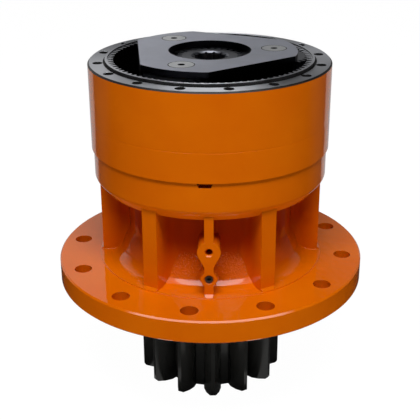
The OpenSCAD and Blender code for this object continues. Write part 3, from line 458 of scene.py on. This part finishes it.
def merge_triangles(copy, merge_flats):
    bpy.ops.object.select_all(action="DESELECT")
    bpy.context.view_layer.objects.active = copy
    copy.select_set(True)
    bpy.ops.object.mode_set(mode="EDIT")
    bpy.ops.mesh.select_all(action="SELECT")
    bpy.ops.mesh.customdata_custom_splitnormals_clear()
    bpy.ops.mesh.remove_doubles(threshold=weld_mm * mm)
    if merge_flats:
        bpy.ops.mesh.dissolve_limited(angle_limit=math.radians(flat_degrees))
    bpy.ops.object.mode_set(mode="OBJECT")


print("corners closer than", weld_mm, "mm are one")

# %% Copy a node with rounded edges
smooth_degrees = 34
flat_weight = 90


def rounded_copy(node, edge_mm, segments, angle, merge_flats):
    copy = nodes[node].copy()
    copy.data = nodes[node].data.copy()
    copy.name = node + "_dressed"
    for key in list(copy.keys()):
        del copy[key]
    copy.parent = None
    bpy.context.scene.collection.objects.link(copy)
    merge_triangles(copy, merge_flats)
    if edge_mm:
        bevel = copy.modifiers.new("edge", "BEVEL")
        bevel.width = edge_mm * mm
        bevel.segments = segments
        bevel.limit_method = "ANGLE"
        bevel.angle_limit = math.radians(angle)
        bevel.use_clamp_overlap = True
        bpy.ops.object.modifier_apply(modifier=bevel.name)
    bpy.ops.object.shade_smooth_by_angle(angle=math.radians(smooth_degrees))
    flats = copy.modifiers.new("flats", "WEIGHTED_NORMAL")
    flats.weight = flat_weight
    flats.keep_sharp = True
    bpy.ops.object.modifier_apply(modifier=flats.name)
    copy.select_set(False)
    print(copy.name, "faces", len(copy.data.polygons))
    return copy


def dress(node, body, edge_mm, segments=2, angle=40, merge_flats=True):
    copy = rounded_copy(node, edge_mm, segments, angle, merge_flats)
    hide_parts(node)
    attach(copy, body)
    return copy


# %% [markdown]
# Each piece gets the edge that its making leaves. The cast housing has the widest, then the
# pinion and the carrier, whose edges were broken with a file, and the turned ring gear has the
# narrowest. The pins of the upper carrier keep their CAD edges: their copy is there so that each
# can get a dark centre hole.

# %% Dress the visible pieces
housing = dress("housing", "gearcase", 1.2)
ring_gear = dress("ring_gear", "gearcase", 0.35, segments=1, angle=55, merge_flats=False)
pinion = dress("pinion_shaft", "output_shaft", 0.8, segments=2, angle=50)
carrier = dress("carrier_1", "upper_carrier", 0.5)
pins = dress("carrier_1_pins", "upper_carrier", 0.0)
print("dressed", housing.name, ring_gear.name, pinion.name, carrier.name, pins.name)

# %% [markdown]
# ## Finish by place
# One casting carries more than one finish: the pockets of the waist stay as cast under the
# paint, the band and the flange were turned first, the drilled holes have a rougher coat in a
# darker colour that is painted shade, and the seats inside are bare. Painting a mask by hand
# would be lost with the next change of the model.
# So each face gets its finish from the radii and heights that it spans and the way it faces.


# %% Choose finishes by face
def finish_faces(piece, finishes, choose):
    corners = piece.data.vertices
    piece.data.materials.clear()
    for finish in finishes:
        piece.data.materials.append(finish)
    for face in piece.data.polygons:
        places = [corners[i].co for i in face.vertices]
        radii = [math.hypot(p.x, p.y) for p in places]
        heights = [p.z for p in places]
        span = (min(radii), max(radii), min(heights), max(heights))
        face.material_index = choose(face, *span)
    print(piece.name, "has", len(finishes), "finishes")


# %% [markdown]
# The housing's bores, its seat at the top and its faces below the flange are bare, and so is the
# joint face. The flange, the band and the faces of the ribs are smooth, and what lies between
# them is as cast, with a patch of coarse grain behind the two bosses in front.

# %% Finish of the housing
bore_r = 104 * mm
top_seat_r = 132 * mm
top_seat_z = 281 * mm
under_flange_z = 147.5 * mm
joint_skin = 1 * mm
hole_low_r = 163 * mm
hole_high_r = 188 * mm
floor_top_z = 176.5 * mm
band_low_z = 289 * mm
rib_face_r = 141.5 * mm
patch_y = -100 * mm
patch_half_w = 50 * mm
patch_low_z = 185 * mm
patch_high_z = 219 * mm
upright = 0.3


def housing_finish(face, low_r, high_r, low_z, high_z):
    inside = high_r < bore_r or (high_r < top_seat_r and low_z > top_seat_z)
    if inside or high_z < under_flange_z or low_z > joint_z - joint_skin:
        return 3
    # Drilled holes in the flange: rough enamel, darker as painted shade.
    if low_r > hole_low_r and high_r < hole_high_r and abs(face.normal.z) < upright:
        return 4
    if low_z < floor_top_z or high_z > band_low_z or low_r > rib_face_r:
        return 0
    in_front = face.center.y < patch_y and abs(face.center.x) < patch_half_w
    return 2 if in_front and low_z > patch_low_z and high_z < patch_high_z else 1


finish_faces(
    housing,
    [smooth_enamel, cast_enamel, coarse_enamel, gear_steel, hole_enamel_with_painted_shade],
    housing_finish,
)

# %% [markdown]
# The ring gear is painted outside and bare on top, with a narrow black band on the chamfer
# between them. Its teeth are dark, partly with oil and partly as painted shade, and the walls of
# its screw holes and the groove at the foot of its lip are near black, which is painted shade.

# %% Finish of the ring gear
tooth_root_r = 127 * mm
screw_low_r = 131.6 * mm
screw_high_r = 144.6 * mm
groove_r = 131.7 * mm
face_skin = 1 * mm
paint_skin = 0.7 * mm
paint_top_z = ring_face_z - 3 * mm
edge_low_r = ring_r - 3 * mm
edge_high_r = ring_r - 2.3 * mm
hole_upright = 0.5
faces_up = 0.9
nearly_flat = 0.95


def ring_finish(face, low_r, high_r, low_z, high_z):
    # Teeth: dark steel, from oil and painted shade.
    if high_r < tooth_root_r:
        return 2 if low_z > ring_face_z + face_skin and face.normal.z > faces_up else 3
    in_screws = low_r > screw_low_r and high_r < screw_high_r
    hole_wall = in_screws and abs(face.normal.z) < hole_upright
    groove = high_r < groove_r and low_z < ring_face_z - face_skin
    # Hole walls and lip groove: near black as painted shade.
    if hole_wall or groove:
        return 4
    if low_r > ring_r - paint_skin and low_z < paint_top_z:
        return 0
    if high_r > edge_high_r and low_r > edge_low_r and abs(face.normal.z) < nearly_flat:
        return 1
    return 2


finish_faces(
    ring_gear, [smooth_enamel, edge_black, turned_steel, oil_and_shade_steel, shade_black_steel], ring_finish
)

# %% [markdown]
# The carrier is bright on its milled top and dark below, partly with oil and partly as painted
# shade. The pins are bright on their ends and near black on their sides, which is painted shade:
# it makes the dark line round each pin and its dark centre hole.

# %% Finish of the carrier, its pins and the pinion
plate_skin = 1.2 * mm
pin_skin = 15 * mm


# Carrier sides and underside: dark steel, from oil and painted shade.
def carrier_finish(face, low_r, high_r, low_z, high_z):
    return 1 if low_z > carrier_top_z - plate_skin else 0


# Pin sides and centre holes: near black as painted shade.
def pin_finish(face, low_r, high_r, low_z, high_z):
    return 1 if face.normal.z < faces_up and high_z > carrier_top_z - pin_skin else 0


finish_faces(carrier, [oil_and_shade_steel, plate_steel], carrier_finish)
finish_faces(pins, [pin_steel, shade_black_steel], pin_finish)
finish_faces(pinion, [blued_steel], lambda face, *span: 0)
nodes["carrier_2_pins"].data.materials[0] = pin_steel

# %% [markdown]
# ## What the gloss mirrors
# Gloss paint shows its surroundings, so these decide its look as much as its colour does. In a
# studio they are white paper that goes up into a wall behind, an unlit room in front, and a soft
# white card high up. They could be real planes round the gearbox, but those would also change
# the light that falls on it. So the floor and the world show them to glossy rays alone. Each is
# a share of full white, and each place on the floor is in metres from the shaft.
#
# Near the gearbox the floor is mirrored nearly dark. Two narrow strips of card lie on it, one on
# each side of the pinion, and draw the upright lines on its black flanks.

# %% The floor mirrored near the gearbox
near_mirror = 0.04
near_reach = 0.26
near_blur = 1.6
strip_mirror = 0.6
strip_x = 0.075
strip_half_w = 0.012


def near_floor(tree, place, aside):
    reach = add(tree, "ShaderNodeVectorMath", {0: place}, operation="LENGTH")
    near = add(
        tree,
        "ShaderNodeMapRange",
        {
            "Value": reach.outputs["Value"],
            "From Min": near_reach,
            "From Max": near_reach * near_blur,
            "To Min": 1,
            "To Max": 0,
        },
    )
    strip = add(
        tree, "ShaderNodeMath", {0: aside, 1: strip_x, 2: strip_half_w}, operation="COMPARE"
    )
    stripes = add(
        tree,
        "ShaderNodeMath",
        {0: strip.outputs[0], 1: strip_mirror, 2: near_mirror},
        operation="MULTIPLY_ADD",
    )
    lit = add(
        tree, "ShaderNodeMath", {0: near.outputs[0], 1: stripes.outputs[0]}, operation="MULTIPLY"
    )
    return lit.outputs[0]


print("strips of card at", strip_x, "m on both sides")

# %% [markdown]
# Further back the floor is mirrored a little paler, and straight behind the gearbox paler still,
# in a wedge that widens away from the camera. The round walls mirror that wedge only where they
# turn away from the eye, so it draws the light line down each side of them.

# %% The floor mirrored behind the gearbox
mirror_dark = 0.005
floor_mirror = 0.05
floor_dark_y = 0.15
floor_pale_y = 0.45
back_mirror = 0.5
back_slope = 0.9
back_blur = 0.12


def back_floor(tree, along, aside):
    back = add(
        tree, "ShaderNodeMath", {0: aside, 1: -back_slope, 2: along}, operation="MULTIPLY_ADD"
    )
    lit = add(
        tree,
        "ShaderNodeMapRange",
        {"Value": back.outputs[0], "From Min": 0, "From Max": back_blur, "To Max": back_mirror},
    )
    return lit.outputs[0]


def mirrored_floor(tree, place):
    split = add(tree, "ShaderNodeSeparateXYZ", {"Vector": place})
    aside = add(tree, "ShaderNodeMath", {0: split.outputs["X"]}, operation="ABSOLUTE")
    behind = add(
        tree,
        "ShaderNodeMapRange",
        {
            "Value": split.outputs["Y"],
            "From Min": floor_dark_y,
            "From Max": floor_pale_y,
            "To Min": mirror_dark,
            "To Max": floor_mirror,
        },
    )
    near = near_floor(tree, place, aside.outputs[0])
    back = back_floor(tree, split.outputs["Y"], aside.outputs[0])
    around = add(tree, "ShaderNodeMath", {0: near, 1: behind.outputs[0]}, operation="ADD")
    pale = add(tree, "ShaderNodeMath", {0: around.outputs[0], 1: back}, operation="MAXIMUM")
    return pale.outputs[0]


print("floor mirrored at", floor_mirror, "to", back_mirror, "of white")

# %% [markdown]
# ## Floor
# The gearbox stands on its pinion on a plain white floor. White paper alone would turn grey away
# from the lamps. So the camera sees an even white with a little real paper mixed in, which
# carries the soft shadow. Rays of soft light meet the paper itself, which throws the lamps' light
# back up at the walls.

# %% White floor
paper_hex = "#F2F2F2"
camera_share = 0.95
camera_white = 1.04


def floor_white():
    finish = bpy.data.materials.new("paper_white")
    finish.use_nodes = True
    tree = finish.node_tree
    tree.nodes.clear()
    path = add(tree, "ShaderNodeLightPath", {})
    place = add(tree, "ShaderNodeTexCoord", {})
    pale = mirrored_floor(tree, place.outputs["Object"])
    white = add(
        tree,
        "ShaderNodeMath",
        {0: path.outputs["Is Camera Ray"], 1: camera_white},
        operation="MULTIPLY",
    )
    strength = add(tree, "ShaderNodeMath", {0: white.outputs[0], 1: pale}, operation="MAXIMUM")
    share = add(
        tree,
        "ShaderNodeMath",
        {0: path.outputs["Is Camera Ray"], 1: camera_share, 2: path.outputs["Is Glossy Ray"]},
        operation="MULTIPLY_ADD",
    )
    seen = add(
        tree,
        "ShaderNodeMath",
        {0: share.outputs[0], 1: path.outputs["Is Transmission Ray"]},
        operation="ADD",
        use_clamp=True,
    )
    paper = add(tree, "ShaderNodeBsdfDiffuse", {"Color": linear(paper_hex)})
    glow = add(tree, "ShaderNodeEmission", {"Strength": strength.outputs[0]})
    mixed = add(tree, "ShaderNodeMixShader", {"Fac": seen.outputs[0]})
    tree.links.new(paper.outputs[0], mixed.inputs[1])
    tree.links.new(glow.outputs[0], mixed.inputs[2])
    add(tree, "ShaderNodeOutputMaterial", {"Surface": mixed.outputs[0]})
    return finish


bpy.ops.mesh.primitive_plane_add(size=30, location=(0, 0, 0))
floor = bpy.context.object
floor.name = "floor"
floor.data.materials.append(floor_white())
print("floor added")

# %% [markdown]
# ## Lamps
# The main lamp is wide and hangs high in front, so the flange is brightest, the walls are softer,
# and the white floor lights them from below. A photographer puts a polariser on such a lamp, so
# that it leaves no second set of bright lines in the gloss. Here the lamp is hidden from glossy
# rays instead. The edge lamp is faint and nearly overhead, and the gloss of the upper edges
# mirrors it. One lamp could do both, but then its light and its mirror image would change
# together.


# %% Lamps
def soft_lamp(name, place, target, width, depth, power):
    lamp = bpy.data.lights.new(name, "AREA")
    lamp.shape = "RECTANGLE"
    lamp.size = width
    lamp.size_y = depth
    lamp.energy = power
    holder = bpy.data.objects.new(name, lamp)
    bpy.context.scene.collection.objects.link(holder)
    holder.location = place
    holder.rotation_euler = (Vector(target) - Vector(place)).to_track_quat("-Z", "Y").to_euler()
    return holder


middle = (0, 0, 0.25)
soft_lamp("edge_lamp", (0.0, -0.5, 2.1), middle, 1.6, 0.5, 3)
main_lamp = soft_lamp("main_lamp", (0.0, -1.6, 3.2), middle, 2.2, 0.7, 105)
main_lamp.visible_glossy = False

# %% [markdown]
# ## Wall behind
# The wall and the card are far away, so the world shows them, by the way in which a ray goes. X
# is to the right, Y is away from the camera and Z is up, each from -1 to 1. The wall is low and
# behind. It rises to the sides and is brighter on the left, so that the middle of the flange
# stays clean and its sides turn pale.

# %% The mirrored wall
wall_mirror = 0.66
wall_fade = 0.3
wall_edge_x = 0.2
wall_middle_x = 0.03
wall_slope = 1.5
wall_dark_z = 0.36
wall_pale_z = 0.24
wall_dark_y = 0.35
wall_pale_y = 0.6


def mirrored_wall(tree, split):
    behind = add(
        tree,
        "ShaderNodeMapRange",
        {"Value": split.outputs["Y"], "From Min": wall_dark_y, "From Max": wall_pale_y},
    )
    off_middle = add(
        tree, "ShaderNodeMath", {0: split.outputs["X"], 1: wall_middle_x}, operation="SUBTRACT"
    )
    to_side = add(tree, "ShaderNodeMath", {0: off_middle.outputs[0]}, operation="ABSOLUTE")
    rise = add(
        tree,
        "ShaderNodeMath",
        {0: to_side.outputs[0], 1: -wall_slope, 2: split.outputs["Z"]},
        operation="MULTIPLY_ADD",
    )
    low = add(
        tree,
        "ShaderNodeMapRange",
        {"Value": rise.outputs[0], "From Min": wall_dark_z, "From Max": wall_pale_z},
    )
    wall = add(
        tree, "ShaderNodeMath", {0: behind.outputs[0], 1: low.outputs[0]}, operation="MULTIPLY"
    )
    across = add(
        tree,
        "ShaderNodeMapRange",
        {
            "Value": split.outputs["X"],
            "From Min": -wall_edge_x,
            "From Max": wall_edge_x,
            "To Min": wall_mirror,
            "To Max": wall_mirror * wall_fade,
        },
    )
    lit = add(
        tree,
        "ShaderNodeMapRange",
        {"Value": wall.outputs[0], "To Min": mirror_dark, "To Max": across.outputs[0]},
    )
    return lit.outputs[0]


print("wall mirrored at", wall_mirror, "of white")

# %% [markdown]
# ## Card in front
# The card is high in front. Upright walls never mirror it. Only paint that leans back does: the
# rounded edges, the feet of the ribs, the sweep at the foot of each pocket and the grains of the
# casting. It is several times brighter than white, because clear gloss gives back only about a
# twentieth of what it mirrors. Its edges are soft, and each goes from dark to full light between
# the two values given.

# %% The mirrored card
card_mirror = 5.0
card_front = (-0.15, -0.22)
card_height = (0.58, 0.64)
card_side = (0.7, 0.6)


def mirrored_card(tree, split):
    aside = add(tree, "ShaderNodeMath", {0: split.outputs["X"]}, operation="ABSOLUTE")
    light = card_mirror
    for way, (dark, lit) in (
        (split.outputs["Y"], card_front),
        (split.outputs["Z"], card_height),
        (aside.outputs[0], card_side),
    ):
        edge = add(tree, "ShaderNodeMapRange", {"Value": way, "From Min": dark, "From Max": lit})
        card = add(tree, "ShaderNodeMath", {0: light, 1: edge.outputs[0]}, operation="MULTIPLY")
        light = card.outputs[0]
    return light


print("card mirrored at", card_mirror, "times white")

# %% [markdown]
# ## World
# The camera sees plain white. Glossy rays see the wall and the card. All other rays get a faint
# light from the room, so that no shadow is quite black.

# %% World
room_fill = 0.012


def studio_world():
    world = bpy.data.worlds.new("studio")
    world.use_nodes = True
    tree = world.node_tree
    tree.nodes.clear()
    path = add(tree, "ShaderNodeLightPath", {})
    way = add(tree, "ShaderNodeTexCoord", {})
    split = add(tree, "ShaderNodeSeparateXYZ", {"Vector": way.outputs["Generated"]})
    mirrored = add(
        tree,
        "ShaderNodeMath",
        {0: mirrored_wall(tree, split), 1: mirrored_card(tree, split)},
        operation="MAXIMUM",
    )
    lit = add(
        tree,
        "ShaderNodeMix",
        {0: path.outputs["Is Glossy Ray"], 2: room_fill, 3: mirrored.outputs[0]},
    )
    shown = add(
        tree,
        "ShaderNodeMath",
        {0: lit.outputs[0], 1: path.outputs["Is Camera Ray"]},
        operation="MAXIMUM",
    )
    light = add(tree, "ShaderNodeBackground", {"Strength": shown.outputs[0]})
    light.inputs["Color"].default_value = (1, 1, 1, 1)
    add(tree, "ShaderNodeOutputWorld", {"Surface": light.outputs[0]})
    return world


bpy.context.scene.world = studio_world()
bpy.context.scene.view_settings.view_transform = "Standard"
print("world", bpy.context.scene.world.name)

# %% [markdown]
# ## Camera
# The camera could be placed by eye. It was found instead from the photograph's own ellipses: the
# flange, the open top and the pinion each give one, and together they fix how high and how far
# away the camera stood. A slight roll and shift bring the last half pixel into place.

# %% Camera
camera_place = (0.0135, -1.1046, 0.7068)
camera_aim = (0, 0, 0.2294)
camera_roll = -0.0028
camera_data = bpy.data.cameras.new("camera")
camera_data.sensor_width = 36
camera_data.lens = 77.89
camera_data.shift_x = -0.0006
camera = bpy.data.objects.new("camera", camera_data)
bpy.context.scene.collection.objects.link(camera)
camera.location = camera_place
sight = Vector(camera_aim) - camera.location
camera.rotation_euler = sight.to_track_quat("-Z", "Y").to_euler()
camera.rotation_euler.rotate_axis("Z", camera_roll)
bpy.context.scene.camera = camera
print("camera at", [round(v, 3) for v in camera.location])
